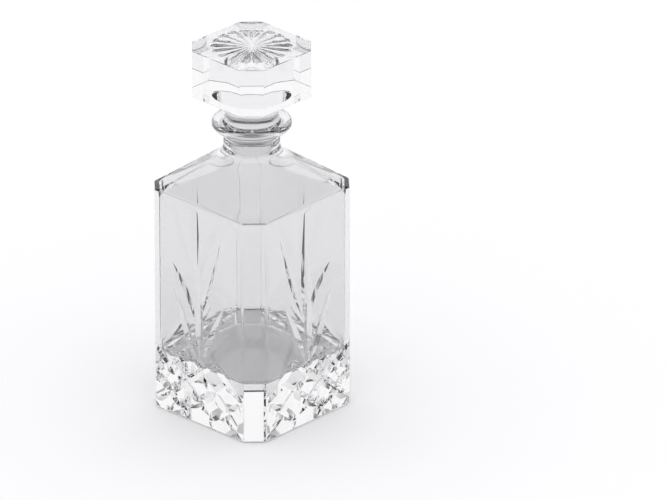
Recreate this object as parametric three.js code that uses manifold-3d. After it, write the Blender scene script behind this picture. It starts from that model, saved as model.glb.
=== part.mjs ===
// Square cut crystal decanter: a thick-based glass bottle and its solid glass stopper.
// Millimetres, +Z up. The origin is the middle of the underside, on the bottle's axis,
// and the four cut faces look along +X, -X, +Y and -Y.
import * as THREE from 'three';
import { ConvexGeometry } from 'three/addons/geometries/ConvexGeometry.js';
import { mergeVertices } from 'three/addons/utils/BufferGeometryUtils.js';
import Module from 'manifold-3d';

// --- Driving dimensions ---------------------------------------------------------------
// Bottle body
const bodyWidth = 95;            // across two flat faces
const cornerLeg = 10;            // each upright corner is cut off this far back
const wallHeight = 148;          // top of the straight walls
const wall = 3.2;                // glass thickness of the straight walls
const baseThickness = 38;        // solid glass under the cavity floor
const floorRound = 4;            // rounding where the cavity's floor meets its walls
const footBevel = 1.5;           // small bevel round the underside
// Shoulder, neck and lip
const shoulderRise = 16.3;       // from the wall top to the round end of the shoulder
const shoulderFlare = 10.1;      // how far the shoulder's round end stands out from the neck
const flareRise = 13;            // height of the concave sweep from the shoulder to the neck
const boreRadius = 13.9;         // bore at the stopper's lower end
const boreTaper = 2.9;           // how much wider the bore is at the mouth
const neckWall = 3.6;            // glass round the bore's narrow end
const neckHeight = 29.2;         // from the shoulder's round end to the top of the lip
const lipReach = 7.3;            // how far the lip ring stands out from the neck
const lipHeight = 6;             // thickness of the rounded lip ring
const mouthRound = 0.9;          // softened inner edge of the mouth
// Stopper
const seatGap = 0.35;            // clearance between the ground plug and the bore
const plugLength = 20.5;         // from the top of the lip down to the plug's end
const plugBevel = 0.8;           // softened edge of the plug's end
const collarHeight = 17;         // round collar between the lip and the head
const headWidth = 62;            // across two flat faces of the head
const headCornerLeg = 10.5;      // each upright corner of the head is cut off this far back
const headHeight = 31.1;
const headTopBevel = 0.4;
const headFootRound = 0.4;       // softened lower edge of the head
// Daisy cut into the top of the head
const petals = 18;
const daisyRadius = 25.8;
const petalDepth = 1.2;
const petalRidge = 1.2;          // flat ridge left between neighbouring petals at their widest
// Cut pattern on each of the four faces
const latticeColumns = 6;        // half diamonds across a flat face
const diamondRise = 10.2;        // half the height of one diamond
const starHeight = 36.1;         // the point that the spikes and two grooves run out of
const grooveWidth = 6.8;
const grooveDepth = 1.3;
const grooveRunOut = 0.15;       // how far a groove runs past its last crossing, in diamonds
const tallSpikeTop = 137;
const tallSpikeWidth = 6.7;
const sideSpikeReach = 21.5;     // how far a slanted spike's tip is from the centre line
const sideSpikeTop = 88;
const sideSpikeWidth = 6.6;
const spikeDepth = 1.3;
// Fineness of round surfaces
const roundSides = 36;
const curveSteps = 4;
const cutSteps = 8;

// --- Places worked out from them --------------------------------------------------------
const shoulderTop = wallHeight + shoulderRise;
const lipTop = shoulderTop + neckHeight;
const lipMiddle = lipTop - lipHeight / 2;
const neckRadius = boreRadius + neckWall;
const shoulderRadius = neckRadius + shoulderFlare;
const mouthRadius = boreRadius + boreTaper;
const plugEnd = lipTop - plugLength;
const headFoot = lipTop + collarHeight;
const headTop = headFoot + headHeight;
const flatWidth = bodyWidth - 2 * cornerLeg;

// --- Helpers ----------------------------------------------------------------------------
const wasm = await Module();
wasm.setup();

const up2 = (x, y) => new THREE.Vector2(x, y);

// A closed three.js geometry as a solid that can be joined and cut.
function solid(geometry, matrix = new THREE.Matrix4()) {
  const bare = geometry.index ? geometry.toNonIndexed() : geometry.clone();
  bare.deleteAttribute('normal');
  bare.deleteAttribute('uv');
  bare.applyMatrix4(matrix);
  const merged = mergeVertices(bare, 1e-4);
  const corners = Array.from(merged.index.array);
  const kept = [];
  for (let i = 0; i < corners.length; i += 3) {
    const [a, b, c] = corners.slice(i, i + 3);
    if (a !== b && b !== c && c !== a) kept.push(a, b, c);
  }
  return new wasm.Manifold(new wasm.Mesh({
    numProp: 3,
    vertProperties: new Float32Array(merged.attributes.position.array),
    triVerts: new Uint32Array(kept),
  }));
}

// A finished solid as a named mesh.
function piece(name, body, material) {
  const mesh = body.getMesh();
  const geometry = new THREE.BufferGeometry();
  geometry.setAttribute('position', new THREE.BufferAttribute(mesh.vertProperties, 3));
  geometry.setIndex(new THREE.BufferAttribute(mesh.triVerts, 1));
  geometry.computeVertexNormals();
  const result = new THREE.Mesh(geometry, material);
  result.name = name;
  return result;
}

// The eight corners of a square with cut-off corners, at one height.
function squareRing(width, leg, height, inset = 0) {
  const half = width / 2 - inset;
  const near = width / 2 - leg - inset * (Math.SQRT2 - 1);
  const corners = [];
  for (let turn = 0; turn < 4; turn += 1) {
    for (const along of [-near, near]) {
      const corner = new THREE.Vector3(half, along, height);
      corner.applyAxisAngle(new THREE.Vector3(0, 0, 1), turn * Math.PI / 2);
      corners.push(corner);
    }
  }
  return corners;
}

function roundRing(radius, height) {
  const points = [];
  for (let i = 0; i < roundSides; i += 1) {
    const angle = 2 * Math.PI * i / roundSides;
    points.push(new THREE.Vector3(radius * Math.cos(angle), radius * Math.sin(angle), height));
  }
  return points;
}

// A solid of revolution about Z from a profile of (radius, height) points, lowest first.
function turned(profile) {
  const lathe = new THREE.LatheGeometry(profile, roundSides, Math.PI / 2);
  return solid(lathe, new THREE.Matrix4().makeRotationX(Math.PI / 2));
}

// A sweep between two profile points that starts and ends along straight lines
// through the bend point.
function sweep(start, bend, end) {
  return new THREE.QuadraticBezierCurve(start, bend, end).getPoints(curveSteps);
}

// --- Bottle: outside --------------------------------------------------------------------
// Straight walls with cut corners, then a shoulder that blends from square to round.
function bodyBlock() {
  return solid(new ConvexGeometry([
    ...squareRing(bodyWidth, cornerLeg, 0, footBevel),
    ...squareRing(bodyWidth, cornerLeg, footBevel),
    ...squareRing(bodyWidth, cornerLeg, wallHeight),
    ...roundRing(shoulderRadius, shoulderTop),
  ]));
}

// A concave sweep up to the neck, the neck, and the rounded lip ring.
function neckBlock() {
  const ringRadius = neckRadius + lipReach - lipHeight / 2;
  const underLip = up2(ringRadius, lipMiddle - lipHeight / 2);
  const ring = new THREE.EllipseCurve(ringRadius, lipMiddle, lipHeight / 2, lipHeight / 2,
    -Math.PI / 2, Math.PI / 2);
  const slope = shoulderRise / (bodyWidth / 2 - shoulderRadius);
  const bend = up2(neckRadius, shoulderTop + Math.min(slope * shoulderFlare, flareRise) * 0.75);
  return turned([
    up2(0, shoulderTop - wall),
    up2(shoulderRadius, shoulderTop - wall / 4),
    ...sweep(up2(shoulderRadius, shoulderTop), bend, up2(neckRadius, shoulderTop + flareRise)),
    ...sweep(up2(neckRadius, underLip.y - lipHeight / 2), up2(neckRadius, underLip.y), underLip),
    ...ring.getPoints(2 * curveSteps).slice(1),
    up2(0, lipTop),
  ]);
}

// --- Bottle: inside ---------------------------------------------------------------------
// The cavity follows the outside, over a thick solid base with a softened floor edge.
const innerWidth = bodyWidth - 2 * wall;
const innerWallTop = wallHeight - wall / 2;
const innerShoulderTop = shoulderTop - wall / 2;
const innerShoulderRadius = shoulderRadius - wall;

function cavity() {
  const rings = [];
  for (let i = 0; i <= curveSteps; i += 1) {
    const angle = Math.PI / 2 * i / curveSteps;
    const inset = floorRound * (1 - Math.sin(angle));
    const lift = floorRound * (1 - Math.cos(angle));
    rings.push(...squareRing(innerWidth, cornerLeg, baseThickness + lift, inset));
  }
  return solid(new ConvexGeometry([
    ...rings,
    ...squareRing(innerWidth, cornerLeg, innerWallTop),
    ...roundRing(innerShoulderRadius, innerShoulderTop),
  ]));
}

// The bore: a sweep up from the cavity, the ground taper, and a softened mouth.
function bore() {
  const sweepTop = Math.min(innerShoulderTop + flareRise - wall / 4, plugEnd - wall / 4);
  const bend = up2(boreRadius, (innerShoulderTop + sweepTop) / 2);
  const mouth = [
    up2(mouthRadius, lipTop - mouthRound),
    up2(mouthRadius + mouthRound, lipTop),
    up2(mouthRadius + mouthRound, lipTop + wall),
  ];
  return turned([
    up2(0, innerShoulderTop - wall),
    up2(innerShoulderRadius, innerShoulderTop - wall / 4),
    ...sweep(up2(innerShoulderRadius, innerShoulderTop), bend, up2(boreRadius, sweepTop)),
    up2(boreRadius, plugEnd),
    ...mouth,
    up2(0, lipTop + wall),
  ]);
}

// --- Bottle: cuts -----------------------------------------------------------------------
// How a cut's width grows and dies away along it, for a share from 0 to 1 of its length.
const lens = (share) => Math.sin(share * Math.PI);
const groove = (share) => 1 - (2 * share - 1) ** 4;
// A long spike is widest near its foot and runs out into a fine tip.
const spike = (share) => {
  const widest = 0.29;
  const tip = (1 - share) / (1 - widest);
  return share < widest ? Math.sin(share / widest * Math.PI / 2) : tip * tip * (3 - 2 * tip);
};

// One cut on a face, as a wheel with a V edge makes it: a long wedge that is pointed at
// both ends, from one point of the face to another, in (across, up).
function wedge([u0, v0], [u1, v1], width, depth, outline) {
  const length = Math.hypot(u1 - u0, v1 - v0);
  const profile = [up2(0, 0)];
  for (let i = 1; i < cutSteps; i += 1) {
    const along = i / cutSteps;
    profile.push(up2(outline(along), along * length));
  }
  profile.push(up2(0, length));
  const placing = new THREE.Matrix4()
    .makeTranslation(u0, v0, 0)
    .multiply(new THREE.Matrix4().makeRotationZ(Math.atan2(v1 - v0, u1 - u0) - Math.PI / 2))
    .multiply(new THREE.Matrix4().makeScale(width / 2, 1, depth));
  return solid(new THREE.LatheGeometry(profile, 4), placing);
}

// All the cuts of one face: three spikes over crossing grooves that leave diamonds.
// A node is a crossing of two grooves, counted in half diamonds from the star point.
function facePattern() {
  const step = flatWidth / latticeColumns;
  const star = [0, starHeight];
  const cuts = [wedge(star, [0, tallSpikeTop], tallSpikeWidth, spikeDepth, spike)];
  for (const side of [-1, 1]) {
    const node = (column, row) => [side * column * step, starHeight + row * diamondRise];
    const cutGroove = (column, row, length) => {
      const start = node(column - grooveRunOut, row + grooveRunOut);
      const end = node(column + length + grooveRunOut, row - length - grooveRunOut);
      cuts.push(wedge(start, end, grooveWidth, grooveDepth, groove));
    };
    const tip = [side * sideSpikeReach, sideSpikeTop];
    cuts.push(wedge(star, tip, sideSpikeWidth, spikeDepth, lens));
    cutGroove(-1, 1, 3.5);
    cutGroove(1, 1, 1.8);
    cutGroove(-2, 0, 2.5);
    cutGroove(-2.8, -1.2, 1.3);
  }
  return cuts.reduce((all, next) => all.add(next));
}

// The pattern laid on the face that looks along -Y, then on the other three.
function allCuts() {
  const pattern = facePattern();
  const onFace = new THREE.Matrix4()
    .makeTranslation(0, -bodyWidth / 2, 0)
    .multiply(new THREE.Matrix4().makeRotationX(Math.PI / 2));
  const placed = pattern.transform(onFace.elements);
  let cuts = placed;
  for (let turn = 1; turn < 4; turn += 1) {
    cuts = cuts.add(placed.rotate([0, 0, 90 * turn]));
  }
  return cuts;
}

// --- Stopper ----------------------------------------------------------------------------
function headBlock() {
  return solid(new ConvexGeometry([
    ...squareRing(headWidth, headCornerLeg, headFoot, headFootRound),
    ...squareRing(headWidth, headCornerLeg, headFoot + headFootRound * 0.3, headFootRound * 0.3),
    ...squareRing(headWidth, headCornerLeg, headFoot + headFootRound),
    ...squareRing(headWidth, headCornerLeg, headTop - headTopBevel),
    ...squareRing(headWidth, headCornerLeg, headTop, headTopBevel),
  ]));
}

// The plug is ground to the same taper as the bore, and runs on up as the collar.
function plug() {
  const endRadius = boreRadius - seatGap;
  const collarRadius = mouthRadius - seatGap;
  return turned([
    up2(0, plugEnd),
    up2(endRadius - plugBevel, plugEnd),
    up2(endRadius, plugEnd + plugBevel),
    up2(collarRadius, lipTop - mouthRound),
    up2(collarRadius, headFoot + headFootRound),
    up2(0, headFoot + headFootRound),
  ]);
}

// One petal of the daisy: a scooped teardrop that widens from the centre outwards.
function petal() {
  const pitch = Math.tan(Math.PI / petals);
  const shoulder = daisyRadius / (1 + pitch);
  const halfWidth = shoulder * pitch - petalRidge / 2;
  const end = new THREE.EllipseCurve(0, shoulder, halfWidth, daisyRadius - shoulder, 0, Math.PI / 2);
  const profile = [up2(0, petalRidge), ...end.getPoints(curveSteps - 1)];
  profile[profile.length - 1].x = 0;
  const flatten = new THREE.Matrix4().makeScale(1, 1, petalDepth / halfWidth);
  return solid(new THREE.LatheGeometry(profile, 8, Math.PI / 8), flatten);
}

function daisy() {
  const one = petal().translate([0, 0, headTop]);
  let all = null;
  for (let i = 0; i < petals; i += 1) {
    const turned = one.rotate([0, 0, 45 + 360 * (i + 0.5) / petals]);
    all = all ? all.add(turned) : turned;
  }
  return all;
}

// --- The two pieces ---------------------------------------------------------------------
const crystal = new THREE.MeshStandardMaterial({ color: 0xdfe2e4, roughness: 0.04, metalness: 0 });
const stopperCrystal = new THREE.MeshStandardMaterial({
  color: 0xeef0f1, roughness: 0.04, metalness: 0,
});

const decanter = new THREE.Group();
decanter.add(piece(
  'bottle',
  bodyBlock().add(neckBlock()).subtract(cavity().add(bore())).subtract(allCuts()),
  crystal,
));
decanter.add(piece('stopper', headBlock().add(plug()).subtract(daisy()), stopperCrystal));

export default decanter;
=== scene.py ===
# %% [markdown]
# # A square cut crystal decanter
# The object is two pieces of clear glass: a bottle with a thick base, and a solid stopper
# that drops into its neck. The frame below brings in the plain CAD pieces at their real
# size and place. This lesson builds fine glass over them: smooth walls, wheel-cut facets,
# a rounded lip and a daisy on the stopper. Then it gives them crystal, a floor, a camera
# and the kind of light in which cut glass comes alive.

# %% Load the frame
import math

import bmesh
import bpy
import numpy as np
from mathutils import Matrix, Vector


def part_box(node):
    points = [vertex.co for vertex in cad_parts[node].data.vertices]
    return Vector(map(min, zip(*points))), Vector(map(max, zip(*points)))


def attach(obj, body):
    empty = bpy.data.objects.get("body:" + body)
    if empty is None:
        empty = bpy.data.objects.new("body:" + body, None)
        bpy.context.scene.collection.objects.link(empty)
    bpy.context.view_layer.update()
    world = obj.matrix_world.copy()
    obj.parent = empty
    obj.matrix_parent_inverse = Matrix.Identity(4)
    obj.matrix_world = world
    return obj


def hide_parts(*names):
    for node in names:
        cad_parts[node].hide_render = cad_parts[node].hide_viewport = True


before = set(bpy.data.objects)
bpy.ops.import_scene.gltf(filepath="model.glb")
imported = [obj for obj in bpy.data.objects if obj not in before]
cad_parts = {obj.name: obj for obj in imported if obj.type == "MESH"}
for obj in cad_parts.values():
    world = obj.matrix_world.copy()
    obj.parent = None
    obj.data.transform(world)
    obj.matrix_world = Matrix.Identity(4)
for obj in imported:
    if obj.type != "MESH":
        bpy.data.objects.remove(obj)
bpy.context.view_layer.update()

# %% [markdown]
# Sizes come from the frame wherever it gives them: the width of the body, the top of the
# lip and the head of the stopper are the boxes of the CAD pieces. The rest are named here
# once, in millimetres, because glass cutters and bottle makers work in millimetres.

# %% Sizes
MM = 0.001
bottle_low, bottle_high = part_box("bottle")
stopper_low, stopper_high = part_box("stopper")

body_width = (bottle_high.x - bottle_low.x) / MM
lip_top = bottle_high.z / MM
plug_end = stopper_low.z / MM
head_top = stopper_high.z / MM
head_width = (stopper_high.x - stopper_low.x) / MM

corner_leg = 10
wall_height = 148
wall = 3.2
base_thickness = 38
shoulder_rise = 16.3
neck_radius = 17.5
flare_out = 10.1
flare_rise = 13
lip_reach = 7.3
lip_height = 6
bore_radius = 13.9
mouth_radius = 16.8
seat_gap = 0.35
collar_height = 17
head_leg = 10.5
shoulder_top = wall_height + shoulder_rise
head_foot = lip_top + collar_height
print("body", round(body_width, 1), "mm wide, lip at", round(lip_top, 1), "mm")

# %% [markdown]
# Both pieces change section as they rise: square with cut corners below, round above.
# A maker blows or presses the glass so that each flat side dies into the round neck as a
# flat triangle, and each corner as part of a cone. The trick that gives this shape is to
# pair points by the direction in which the surface faces: a corner of the square outline
# turns through 45 degrees, and it meets the arc of the circle that turns through the same
# 45 degrees. Every ring then has the same number of points, so rings can simply be joined.

# %% Outlines
CORNER_STEPS = 12


def facing_angles():
    """The direction each outline point faces: eight corners, each turning through 45 degrees."""
    angles = []
    for corner in range(8):
        for step in range(CORNER_STEPS + 1):
            angles.append(math.radians(45 * corner + 45 * step / CORNER_STEPS))
    return np.array(angles)


FACING = facing_angles()
least_rounding = 0.3
print(len(FACING), "points in every outline")


def square_ring(width, leg, rounding, height):
    """A square with cut-off corners and softened edges, as points at one height."""
    half = width / 2
    near = half - leg
    sharp = [(half, near), (near, half), (-near, half), (-half, near),
             (-half, -near), (-near, -half), (near, -half), (half, -near)]
    half_turn = 22.5
    set_back = rounding / math.cos(math.radians(half_turn))
    points = []
    for corner, (x, y) in enumerate(sharp):
        middle = math.radians(45 * corner + half_turn)
        centre_x = x - set_back * math.cos(middle)
        centre_y = y - set_back * math.sin(middle)
        for step in range(CORNER_STEPS + 1):
            a = FACING[corner * (CORNER_STEPS + 1) + step]
            x_here = centre_x + rounding * math.cos(a)
            y_here = centre_y + rounding * math.sin(a)
            points.append((x_here, y_here, height))
    return np.array(points)


def inset_ring(width, leg, rounding, height, inset):
    """The same outline, drawn in by an even amount all round."""
    tighter = leg - inset * (2 - math.sqrt(2))
    sharper = max(rounding - inset / 2, least_rounding)
    return square_ring(width - 2 * inset, tighter, sharper, height)


def round_ring(radius, height):
    """A circle with its points where the surface faces the same ways."""
    level = np.full(len(FACING), height)
    return np.stack([radius * np.cos(FACING), radius * np.sin(FACING), level], 1)


def bend(start, corner, end, steps):
    """Points of a curve that leaves start and reaches end along straight lines through corner."""
    curve = []
    for i in range(steps + 1):
        t = i / steps
        curve.append((1 - t) ** 2 * start + 2 * t * (1 - t) * corner + t * t * end)
    return curve


def arc(centre_r, centre_z, radius, from_degrees, to_degrees, steps):
    """Points (radius, height) of an arc in the plane through the axis."""
    points = []
    for a in np.linspace(math.radians(from_degrees), math.radians(to_degrees), steps + 1):
        points.append(np.array([centre_r + radius * math.cos(a), centre_z + radius * math.sin(a)]))
    return points


# %% [markdown]
# A piece is a stack of rings, from the middle of its underside, up its outside, over its
# top and, for the bottle, down again inside. Joining them gives one closed skin with a
# true thickness, and that is what makes glass look like glass: light is bent going in and
# going out of every wall. A single sheet can't do that.

# %% Joining rings
def skin(name, rings):
    """One closed mesh from rings of points in millimetres; the first and last ring are filled."""
    count = len(FACING)
    mesh = bpy.data.meshes.new(name)
    points = np.concatenate(rings) * MM
    faces = [tuple(range(count - 1, -1, -1))]
    for ring in range(len(rings) - 1):
        low, high = ring * count, (ring + 1) * count
        for i in range(count):
            j = (i + 1) % count
            faces.append((low + i, low + j, high + j, high + i))
    last = (len(rings) - 1) * count
    faces.append(tuple(range(last, last + count)))
    mesh.from_pydata([tuple(p) for p in points], [], faces)
    work = bmesh.new()
    work.from_mesh(mesh)
    bmesh.ops.remove_doubles(work, verts=work.verts, dist=1e-7)
    bmesh.ops.recalc_face_normals(work, faces=work.faces)
    work.to_mesh(mesh)
    work.free()
    piece = bpy.data.objects.new(name, mesh)
    bpy.context.scene.collection.objects.link(piece)
    return piece


# %% [markdown]
# The bottle's rings, from the foot. The edge of the foot and the edge where wall meets
# shoulder are softened, as fire polishing leaves them. Above the shoulder the rings are
# round: the flare, the neck and the lip. Each soft passage is a short curve between two
# straight runs, which is also how a maker's drawing gives it.

# %% The bottle's outside
foot_softening = 1.6
foot_steps = 5
edge_softening = 1.0
edge_reach = 1.2
shoulder_radius = neck_radius + flare_out
flare_bend = 5.4
lip_fillet = 3
mouth_flat = 1.1
mouth_round = 0.9


def bottle_outside():
    """From the middle of the foot up to the top of the shoulder."""
    rings = [inset_ring(body_width, corner_leg, edge_softening, 0, foot_softening)]
    for i in range(1, foot_steps + 1):
        a = math.radians(90 * i / foot_steps)
        inset = foot_softening * (1 - math.sin(a))
        rise = foot_softening * (1 - math.cos(a))
        rings.append(inset_ring(body_width, corner_leg, edge_softening, rise, inset))
    wall_ring = square_ring(body_width, corner_leg, edge_softening, wall_height)
    top_ring = round_ring(shoulder_radius, shoulder_top)
    slope = (top_ring - wall_ring) / np.linalg.norm(top_ring - wall_ring, axis=1)[:, None]
    down = np.array([0, 0, -edge_reach])
    rings += bend(wall_ring + down, wall_ring, wall_ring + edge_reach * slope, 6)
    rings += [wall_ring + share * (top_ring - wall_ring) for share in (0.25, 0.5, 0.75)]
    return rings


def neck_profile():
    """(radius, height) from the shoulder's round end to the top of the lip."""
    under = lip_top - lip_height
    ring_radius = neck_radius + lip_reach - lip_height / 2
    points = bend(np.array([shoulder_radius, shoulder_top]),
                  np.array([neck_radius, shoulder_top + flare_bend]),
                  np.array([neck_radius, shoulder_top + flare_rise]), 14)
    points += bend(np.array([neck_radius, under - lip_fillet]), np.array([neck_radius, under]),
                   np.array([ring_radius, under]), 8)
    points += arc(ring_radius, lip_top - lip_height / 2, lip_height / 2, -90, 90, 20)[1:]
    points += bend(np.array([mouth_radius + mouth_flat, lip_top]), np.array([mouth_radius, lip_top]),
                   np.array([mouth_radius, lip_top - mouth_round]), 6)
    return points


outside = bottle_outside() + [round_ring(r, z) for r, z in neck_profile()]
print("outside:", len(outside), "rings")

# %% [markdown]
# At the mouth the skin turns in, and goes down the ground bore into the cavity. The inside
# is a little rounder than the outside, because a mould shapes the outside and air pressure
# shapes the inside. The floor of the cavity stays flat, high above the foot: that thick
# block of crystal is what gives such a bottle its weight.

# %% The bottle's inside
cavity_softening = 2.2
cavity_edge_reach = 3
floor_round = 4
floor_steps = 8
sweep_bend = 4.9


def bore_profile():
    """(radius, height) from the mouth down to the round top of the cavity."""
    inner_top = shoulder_top - wall / 2
    inner_radius = shoulder_radius - wall
    sweep_top = plug_end - wall / 4
    points = [np.array([bore_radius, plug_end])]
    points += bend(np.array([bore_radius, sweep_top]), np.array([bore_radius, inner_top + sweep_bend]),
                   np.array([inner_radius, inner_top]), 14)
    return points


def cavity_rings():
    """From the cavity's round top down its walls to the floor."""
    inner = body_width - 2 * wall
    wall_ring = square_ring(inner, corner_leg, cavity_softening, wall_height - wall / 2)
    top_ring = round_ring(shoulder_radius - wall, shoulder_top - wall / 2)
    slope = (top_ring - wall_ring) / np.linalg.norm(top_ring - wall_ring, axis=1)[:, None]
    down = np.array([0, 0, -cavity_edge_reach])
    rings = [wall_ring + share * (top_ring - wall_ring) for share in (0.75, 0.5, 0.25)]
    rings += bend(wall_ring + cavity_edge_reach * slope, wall_ring, wall_ring + down, 8)
    for i in range(floor_steps + 1):
        a = math.radians(90 * i / floor_steps)
        inset = floor_round * (1 - math.cos(a))
        height = base_thickness + floor_round * (1 - math.sin(a))
        rings.append(inset_ring(inner, corner_leg, cavity_softening, height, inset))
    return rings


inside = [round_ring(r, z) for r, z in bore_profile()] + cavity_rings()
bottle = skin("crystal_bottle", outside + inside)
print("inside:", len(inside), "rings, and", len(bottle.data.polygons), "faces in the whole skin")

# %% [markdown]
# The stopper is solid: a square head with cut corners, a round collar, and the ground
# plug. It is the same kind of stack, from the end of the plug to the top of the head. The
# plug tapers with the bore, and a hair of clearance stays between the two. A loose stopper
# never sits quite square, so it is turned a degree or so, as a hand leaves it.

# %% The stopper's skin
plug_end_flat, plug_end_round = 1, 0.8
taper_in, taper_length = 0.05, 0.7
collar_fillet = 1
foot_round = 0.4
top_round = 0.4
head_softening = least_rounding
loose_turn = Matrix.Rotation(math.radians(-1.4), 4, "Z")


def plug_and_collar():
    """(radius, height) from the end of the plug to the underside of the head."""
    plug_radius = bore_radius - seat_gap
    collar_radius = mouth_radius - seat_gap
    taper_top = lip_top - mouth_round
    profile = [np.array([plug_radius - plug_end_flat, plug_end])]
    profile += arc(plug_radius - plug_end_round, plug_end + plug_end_round, plug_end_round, -90, 0, 6)
    profile += bend(np.array([collar_radius - taper_in, taper_top - taper_length]),
                    np.array([collar_radius, taper_top]),
                    np.array([collar_radius, lip_top]), 4)
    profile += bend(np.array([collar_radius, head_foot - collar_fillet]),
                    np.array([collar_radius, head_foot]),
                    np.array([collar_radius + collar_fillet, head_foot]), 12)
    return profile


def head_rings():
    """The square head, with its lower and upper edges just broken."""
    rings = []
    for a in np.linspace(0, math.pi / 2, 5):
        inset = foot_round * (1 - math.sin(a))
        rise = foot_round * (1 - math.cos(a))
        rings.append(inset_ring(head_width, head_leg, head_softening, head_foot + rise, inset))
    for a in np.linspace(0, math.pi / 2, 6):
        inset = top_round * (1 - math.cos(a))
        drop = top_round * (1 - math.sin(a))
        rings.append(inset_ring(head_width, head_leg, head_softening, head_top - drop, inset))
    return rings


plug_rings = [round_ring(r, z) for r, z in plug_and_collar()]
stopper = skin("crystal_stopper", plug_rings + head_rings())
stopper.data.transform(loose_turn)
print("stopper skin:", len(stopper.data.polygons), "faces")

# %% [markdown]
# A cutter presses the glass against a turning wheel. A wheel with a V edge leaves a long
# wedge that is pointed at both ends, and a round-edged wheel leaves a scoop. Each cut is
# modelled here as the solid that the wheel takes away: a spindle whose width follows one
# outline from end to end, with four sides for the V and many for the scoop.

# %% Cutting tools
def lens(share):
    """The half width of a slanted spike along its length: fullest in the middle."""
    return math.sin(share * math.pi)


def groove(share):
    """The half width of a lattice groove: even, with short pointed ends."""
    return 1 - (2 * share - 1) ** 4


def spike(share):
    """The half width of the tall spike: fullest low down, with a long fine tip."""
    widest = 0.29
    if share < widest:
        return math.sin(share / widest * math.pi / 2)
    tip = (1 - share) / (1 - widest)
    return tip * tip * (3 - 2 * tip)


def spindle(name, length, outline, across, deep, sides, steps):
    """A closed body along +Y whose section is a polygon scaled by the outline."""
    work = bmesh.new()
    start = work.verts.new((0, 0, 0))
    end = work.verts.new((0, length, 0))
    loops = []
    for i in range(1, steps):
        share = i / steps
        size = outline(share)
        loop = []
        for side in range(sides):
            a = 2 * math.pi * side / sides
            x, z = size * across * math.cos(a), size * deep * math.sin(a)
            loop.append(work.verts.new((x, share * length, z)))
        loops.append(loop)
    for side in range(sides):
        after = (side + 1) % sides
        work.faces.new((start, loops[0][side], loops[0][after]))
        for low, high in zip(loops, loops[1:]):
            work.faces.new((low[side], high[side], high[after], low[after]))
        work.faces.new((end, loops[-1][after], loops[-1][side]))
    bmesh.ops.recalc_face_normals(work, faces=work.faces)
    mesh = bpy.data.meshes.new(name)
    work.to_mesh(mesh)
    work.free()
    return mesh


print("outlines ready: lens, groove and spike")

# %% [markdown]
# A boolean takes the spindle out of the glass. A bump map could draw the same lines with
# less work, but a real cut has crisp edges and really bends the light that goes through.

# %% Taking a cut
def cut_away(piece, mesh, matrix):
    """Takes one placed solid out of a piece."""
    tool = bpy.data.objects.new("wheel", mesh)
    tool.matrix_world = matrix
    bpy.context.scene.collection.objects.link(tool)
    change = piece.modifiers.new("cut", "BOOLEAN")
    change.operation = "DIFFERENCE"
    change.solver = "EXACT"
    change.object = tool
    graph = bpy.context.evaluated_depsgraph_get()
    cut = bpy.data.meshes.new_from_object(piece.evaluated_get(graph))
    piece.modifiers.remove(change)
    old = piece.data
    piece.data = cut
    bpy.data.meshes.remove(old)
    bpy.data.objects.remove(tool)


print("bottle before the first cut:", len(bottle.data.polygons), "faces")

# %% [markdown]
# The pattern of one face is drawn on the face itself: across from its centre line, and up
# from the foot. Three spikes rise from a star point, and under them crossing grooves leave
# a band of diamonds. The grooves are listed once, in diamonds from the star, and the other
# half of the face is their mirror image.

# %% The pattern of one face
star_height = 36.1
lattice_columns = 6
half_diamond = (body_width - 2 * corner_leg) / lattice_columns
diamond_rise = 10.2
run_out = 0.15
groove_width, groove_depth = 6.8, 1.3
spike_width, spike_depth = 6.7, 1.3
tall_spike_top = 137
side_spike_reach, side_spike_top = 21.5, 88
lattice = ((-1, 1, 3.5), (1, 1, 1.8), (-2, 0, 2.5), (-2.8, -1.2, 1.3))    # column, row, reach


def face_cuts():
    """(start, end, width, depth, outline) of each cut on a face."""
    star = (0, star_height)
    cuts = [(star, (0, tall_spike_top), spike_width, spike_depth, spike)]
    for side in (-1, 1):
        tip = (side * side_spike_reach, side_spike_top)
        cuts.append((star, tip, spike_width, spike_depth, lens))
        for column, row, reach in lattice:
            far = reach + run_out
            start = (side * (column - run_out) * half_diamond, star_height + (row + run_out) * diamond_rise)
            end = (side * (column + far) * half_diamond, star_height + (row - far) * diamond_rise)
            cuts.append((start, end, groove_width, groove_depth, groove))
    return cuts


print(len(face_cuts()), "cuts on each face")

# %% [markdown]
# Each cut is turned and laid with its middle plane on the glass, so that half of the
# spindle is in the wall. It goes on one face after another, a quarter turn apart, as a
# cutter works round a bottle.

# %% Cutting the four faces
v_sides, wedge_steps = 4, 24


def place_on_face(start, end, quarter):
    """Where a spindle lies: along the cut, with its middle plane on the glass."""
    u, v = end[0] - start[0], end[1] - start[1]
    along = Matrix.Rotation(math.atan2(v, u) - math.pi / 2, 4, "Z")
    at = Matrix.Translation((start[0] * MM, start[1] * MM, 0))
    face = Matrix.Translation((0, -body_width / 2 * MM, 0)) @ Matrix.Rotation(math.pi / 2, 4, "X")
    return Matrix.Rotation(quarter * math.pi / 2, 4, "Z") @ face @ at @ along


for start, end, width, depth, outline in face_cuts():
    length = math.dist(start, end)
    tool = spindle("wedge", length * MM, outline, width / 2 * MM, depth * MM, v_sides, wedge_steps)
    for quarter in range(4):
        cut_away(bottle, tool, place_on_face(start, end, quarter))
    bpy.data.meshes.remove(tool)
print("cut bottle:", len(bottle.data.polygons), "faces")

# %% [markdown]
# The daisy on the stopper is eighteen scooped petals. Each is a teardrop that widens from
# the centre, with a rounded end, and a thin ridge of uncut glass between neighbours.

# %% The daisy
petals = 18
daisy_radius = 25.8
petal_depth = 1.2
petal_ridge = 1.2
petal_fullest = 0.9        # where a petal is fullest, as a share of the daisy's radius
petal_shoulder = 0.88      # the same place, as a share of the petal's own length
petal_squareness = 2.2
first_petal = 45


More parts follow.
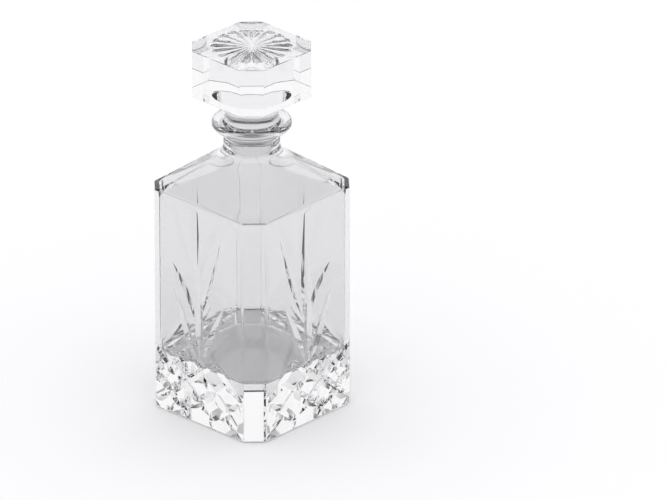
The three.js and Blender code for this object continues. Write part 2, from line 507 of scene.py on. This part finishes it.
def petal(share):
    """The petal's half width at a share of its length, against its widest."""
    if share < petal_shoulder:
        return share / petal_shoulder
    past = (share - petal_shoulder) / (1 - petal_shoulder)
    return max(1 - past ** petal_squareness, 0) ** (1 / petal_squareness)


scoop_sides, petal_steps = 32, 40
petal_length = daisy_radius - petal_ridge
half_width = (daisy_radius * petal_fullest) * math.tan(math.pi / petals) - petal_ridge / 2
tool = spindle("petal", petal_length * MM, petal, half_width * MM, petal_depth * MM,
               scoop_sides, petal_steps)
for i in range(petals):
    turn = Matrix.Rotation(math.radians(first_petal + 360 * (i + 0.5) / petals), 4, "Z")
    out = Matrix.Translation((0, petal_ridge * MM, head_top * MM))
    cut_away(stopper, tool, loose_turn @ turn @ out)
bpy.data.meshes.remove(tool)
print("daisy:", petals, "petals,", len(stopper.data.polygons), "faces in the stopper")

# %% [markdown]
# Flat glass must shade as flat and round glass as round. Edges that turn sharply are
# marked sharp, and the rest is smooth, with each flat face keeping its own direction
# because larger faces weigh more. Otherwise a flat wall would act as a weak lens.

# %% Shading
weld, crumb = 2e-6, 1e-6
full_weight = 100
bottle_crease, stopper_crease = math.radians(12), math.radians(14)


def finish_surface(piece, crease):
    """Smooth shading that keeps flats flat and facets crisp."""
    work = bmesh.new()
    work.from_mesh(piece.data)
    bmesh.ops.remove_doubles(work, verts=work.verts, dist=weld)
    bmesh.ops.dissolve_degenerate(work, edges=work.edges, dist=crumb)
    for edge in work.edges:
        sharp = len(edge.link_faces) != 2 or edge.calc_face_angle() > crease
        edge.smooth = not sharp
    for face in work.faces:
        face.smooth = True
    work.to_mesh(piece.data)
    work.free()
    weighted = piece.modifiers.new("flats", "WEIGHTED_NORMAL")
    weighted.mode = "FACE_AREA"
    weighted.keep_sharp = True
    weighted.weight = full_weight


finish_surface(bottle, bottle_crease)
finish_surface(stopper, stopper_crease)
for piece in (bottle, stopper):
    print(piece.name, "has", sum(not edge.use_edge_sharp for edge in piece.data.edges), "smooth edges")

# %% [markdown]
# Shader maths reads best as sums. This small class holds one output socket, and the usual
# operators add the Math nodes behind it, so that 1 - mask simply works. Every other kind
# of node comes from its one method, make.

# %% Shader sums
COLOUR_A, COLOUR_B, COLOUR_RESULT = 6, 7, 2    # where a Mix node keeps its colours


class Wire:
    """One output socket of a node tree."""

    def __init__(self, tree, socket):
        self.tree = tree
        self.socket = socket

    @staticmethod
    def make(tree, kind, settings, values, output=0):
        """Adds a node: its settings first, then the values or wires of its sockets."""
        node = tree.nodes.new("ShaderNode" + kind)
        for name, value in settings.items():
            setattr(node, name, value)
        for name, value in values.items():
            if isinstance(value, Wire):
                tree.links.new(value.socket, node.inputs[name])
            else:
                node.inputs[name].default_value = value
        return Wire(tree, node.outputs[output])

    def maths(self, operation, first, second):
        return Wire.make(self.tree, "Math", {"operation": operation}, {0: first, 1: second})

    def __add__(self, other):
        return self.maths("ADD", self, other)

    def __sub__(self, other):
        return self.maths("SUBTRACT", self, other)

    def __rsub__(self, other):
        return self.maths("SUBTRACT", other, self)

    def __mul__(self, other):
        return self.maths("MULTIPLY", self, other)

    __radd__ = __add__
    __rmul__ = __mul__

    def above(self, low, high):
        """0 under low, 1 over high, and a smooth step between."""
        return Wire.make(self.tree, "MapRange", {"interpolation_type": "SMOOTHSTEP"},
                         {"Value": self, "From Min": low, "From Max": high})


# %% [markdown]
# Crystal is clear, heavy and polished. Three things keep it from looking like a computer's
# glass. It is slightly grey, so that each wall that light passes takes a little away, and
# the grey clouds a little, as a melt does. Its walls were polished by fire, which leaves a
# ripple too slight to see except where something straight is seen through it. And where
# the stopper is ground to fit the neck, the surface is a touch less smooth.
#
# Blender could do the grey with an absorbing volume, but that makes the thick base much
# darker than the thin walls, and good crystal isn't. So the grey is in the Base Color,
# which counts once for each wall. The ripple is a Bump fed by a broad noise. Every noise is
# laid out in the object's own space, so it stays put when the stopper is lifted.

# %% Finishes of the glass
pale_grey = (0.85, 0.85, 0.86, 1)
paler_grey = (0.87, 0.87, 0.875, 1)
cloud_scale, cloud_detail = 18.0, 2.0
ground_blur, ground_grain, ground_soft = 0.02, 0.03, 1
grain_scale, grain_detail = 900.0, 3.0
ripple_strength, ripple_depth = 0.25, 0.0002
ripple_scale, ripple_detail = 25.0, 1.0
ripple_low, ripple_high, ripple_soft = base_thickness + 20, wall_height - 10, 15


def between(height, low, high, soft):
    """1 between two heights in millimetres, 0 outside them, with soft ends."""
    risen = height.above((low - soft) * MM, low * MM)
    passed = height.above(high * MM, (high + soft) * MM)
    return risen * (1 - passed)


def noise(tree, place, scale, detail):
    """A cloudy pattern from 0 to 1; a larger scale makes finer clouds."""
    return Wire.make(tree, "TexNoise", {}, {"Vector": place, "Scale": scale, "Detail": detail}, "Fac")


def cloudy_grey(tree, place):
    """The faint grey of the melt."""
    cloud = noise(tree, place, cloud_scale, cloud_detail)
    return Wire.make(tree, "Mix", {"data_type": "RGBA"},
                     {"Factor": cloud, COLOUR_A: pale_grey, COLOUR_B: paler_grey}, COLOUR_RESULT)


def ground_fit(tree, place, height):
    """Roughness: polished everywhere, but finely ground where plug and bore meet."""
    grain = noise(tree, place, grain_scale, grain_detail)
    return between(height, plug_end, lip_top, ground_soft) * (ground_blur + ground_grain * grain)


def fire_ripple(tree, place, height):
    """The slow waves that fire polishing leaves in the thin walls."""
    thin_wall = between(height, ripple_low, ripple_high, ripple_soft)
    wave = noise(tree, place, ripple_scale, ripple_detail) * thin_wall
    return Wire.make(tree, "Bump", {},
                     {"Height": wave, "Strength": ripple_strength, "Distance": ripple_depth})


print("polished everywhere, ground from", round(plug_end, 1), "to", round(lip_top, 1), "mm")

# %% [markdown]
# Real glass lets light through to the table. Blender counts any glass as a solid blocker
# when it works out shadows, and the table under the bottle would be dark. So for shadow
# rays alone, the shader is a plain transparent one that takes a little light at each wall.

# %% Crystal
glass_bending = 1.52
shadow_clearness = (0.98, 0.98, 0.98, 1)


def crystal(name):
    """Clear polished crystal, as one material."""
    made = bpy.data.materials.new(name)
    made.use_nodes = True
    tree = made.node_tree
    tree.nodes.clear()
    place = Wire.make(tree, "TexCoord", {}, {}, "Object")
    height = Wire.make(tree, "SeparateXYZ", {}, {"Vector": place}, "Z")
    glass = Wire.make(tree, "BsdfPrincipled", {},
                      {"Base Color": cloudy_grey(tree, place), "Roughness": ground_fit(tree, place, height),
                       "Normal": fire_ripple(tree, place, height),
                       "IOR": glass_bending, "Transmission Weight": 1.0})
    clear = Wire.make(tree, "BsdfTransparent", {}, {"Color": shadow_clearness})
    shadow = Wire.make(tree, "LightPath", {}, {}, "Is Shadow Ray")
    both = Wire.make(tree, "MixShader", {}, {0: shadow, 1: glass, 2: clear})
    surface = tree.nodes.new("ShaderNodeOutputMaterial")
    tree.links.new(both.socket, surface.inputs["Surface"])
    return made


bottle.data.materials.append(crystal("cut_bottle_crystal"))
stopper.data.materials.append(crystal("cut_stopper_crystal"))
print("crystal bends light by", glass_bending)

# %% [markdown]
# Each piece takes the place of its plain CAD piece and moves with it: the bottle stands,
# and the stopper lifts straight out of the neck.

# %% The pieces in the frame
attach(bottle, "bottle")
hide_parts("bottle")
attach(stopper, "stopper")
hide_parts("stopper")

# %% [markdown]
# The floor is a plain pale sheet, a hair under the foot so that the two surfaces don't
# share a plane. It is matt, with a faint mottle, and wide enough to reach the horizon.

# %% Floor
floor_gap = 0.0003
floor_reach = 40
paper_shade = (0.94, 0.935, 0.952, 1)
paper_light = (0.955, 0.95, 0.965, 1)
mottle_scale, mottle_detail = 6.0, 3.0
paper_roughness = 0.8

bpy.ops.mesh.primitive_plane_add(size=floor_reach, location=(0, 0, -floor_gap))
floor = bpy.context.object
floor.name = "floor"

paint = bpy.data.materials.new("pale_floor")
paint.use_nodes = True
tree = paint.node_tree
matt = tree.nodes["Principled BSDF"]
place = Wire.make(tree, "TexCoord", {}, {}, "Object")
mottle = noise(tree, place, mottle_scale, mottle_detail)
pale = Wire.make(tree, "Mix", {"data_type": "RGBA"},
                 {"Factor": mottle, COLOUR_A: paper_shade, COLOUR_B: paper_light}, COLOUR_RESULT)
tree.links.new(pale.socket, matt.inputs["Base Color"])
matt.inputs["Roughness"].default_value = paper_roughness
floor.data.materials.append(paint)
print("floor", floor_reach, "m across")

# %% [markdown]
# The camera stands back a long way with a long lens, as it would for a catalogue: upright
# edges then stay upright, and near and far sides keep the same size. It looks down a
# little, at one corner of the bottle, and aims to one side, which leaves room on the right.

# %% Camera
azimuth, elevation = math.radians(43.09), math.radians(25.37)
distance = 7.793
focal_length = 677.5
aim_right, aim_up = 0.05023, 0.09332

right = Vector((math.cos(azimuth), math.sin(azimuth), 0))
back = Vector((math.sin(azimuth) * math.cos(elevation),
               -math.cos(azimuth) * math.cos(elevation),
               math.sin(elevation)))
up = back.cross(right)
view = bpy.data.cameras.new("camera")
view.lens = focal_length
view.sensor_width = 36
view.clip_end = 50
camera = bpy.data.objects.new("camera", view)
camera.location = right * aim_right + up * aim_up + back * distance
camera.rotation_euler = back.to_track_quat("Z", "Y").to_euler()
bpy.context.scene.collection.objects.link(camera)
bpy.context.scene.camera = camera
print("camera looks down", round(math.degrees(elevation), 1), "degrees from", distance, "m")

# %% [markdown]
# Glass has no look of its own: it shows what is round it. For a catalogue it is put in
# white surroundings, and darkness is let in only where it is wanted to draw edges. Here the
# studio is white all round, with a dark ceiling and a grey band just over the horizon.
# Flat walls look past both, while cut facets and the rounded lip bend the view into them,
# and that gives most cuts one bright and one dark side.
#
# Black cards in the room would do the same, but they would show, and shade the floor. So
# the pattern is in the World, and the camera and the matt floor are given plain white.

# %% Soft studio light
ceiling_starts, ceiling_ends = 0.62, 0.68
band_low, band_high, band_soft = 0.04, 0.21, 0.02
ceiling_shade, band_shade = 0.97, 0.6
brightness = 1.1

world = bpy.data.worlds.new("white_studio")
world.use_nodes = True
tree = world.node_tree
sky = tree.nodes["Background"]
look = Wire.make(tree, "TexCoord", {}, {}, "Generated")
upward = Wire.make(tree, "SeparateXYZ", {}, {"Vector": look}, "Z")
ceiling = upward.above(ceiling_starts, ceiling_ends)
over_low = upward.above(band_low - band_soft, band_low)
over_high = upward.above(band_high, band_high + band_soft)
band = over_low * (1 - over_high)
studio = 1 - (ceiling_shade * ceiling + band_shade * band)
to_floor = Wire.make(tree, "LightPath", {}, {}, "Is Diffuse Ray")
to_camera = Wire.make(tree, "LightPath", {}, {}, "Is Camera Ray")
plain = to_floor.maths("MAXIMUM", to_floor, to_camera)
tree.links.new(plain.maths("MAXIMUM", plain, studio).socket, sky.inputs["Color"])
sky.inputs["Strength"].default_value = brightness
bpy.context.scene.world = world
bpy.context.scene.view_settings.view_transform = "Standard"
print("ceiling darkens above", round(math.degrees(math.asin(ceiling_starts))), "degrees")

# %% [markdown]
# Light can be thrown to and fro many times inside a block of cut glass. Blender follows it
# for a set number of bounces, and then gives it up as dark. Too few, and the solid stopper
# shows black patches. Too many, and every facet ends up the same pale grey. Eight of each
# kind keeps the stopper clear and the facets lively.

# %% Bounces
cycles = bpy.context.scene.cycles
cycles.max_bounces = 24
cycles.transmission_bounces = 8
cycles.glossy_bounces = 8
cycles.transparent_max_bounces = 16
print("bounces:", cycles.glossy_bounces, "inside,", cycles.transmission_bounces, "through")
